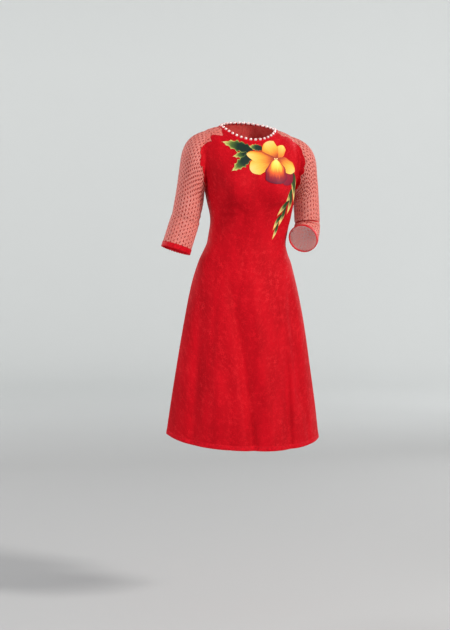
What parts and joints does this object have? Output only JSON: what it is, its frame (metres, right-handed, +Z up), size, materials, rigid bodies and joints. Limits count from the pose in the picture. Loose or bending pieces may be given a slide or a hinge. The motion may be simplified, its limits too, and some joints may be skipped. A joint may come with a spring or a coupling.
{
  "type": "ao dai tunic",
  "caption": "Fitted lace tunic with split front and back flaps, dotted net shoulders and three-quarter sleeves, and a round neckline edged with pearls, hollow as worn.",
  "frame": {"origin": "middle of the line between the two high shoulder points, where neck meets shoulder", "axes": "+Z up along the wearer, -Y out of the front, +X to the wearer's left"},
  "size_m": [0.4531, 0.3312, 0.9116],
  "materials": {
    "red_lace": "matt lace",
    "red_net": "sheer dotted net",
    "red_cuff": "soft sheen",
    "pearl": "pearly"
  },
  "bodies": {
    "root": {"front_panel": "red_lace", "back_left": "red_lace", "back_right": "red_lace", "yoke_left": "red_net", "yoke_right": "red_net", "sleeve_left": "red_net", "sleeve_right": "red_net", "lace_lap_left": "red_lace", "lace_lap_right": "red_lace", "cuff_left": "red_cuff", "cuff_right": "red_cuff", "pearl_trim": "pearl"}
  },
  "joints": []
}
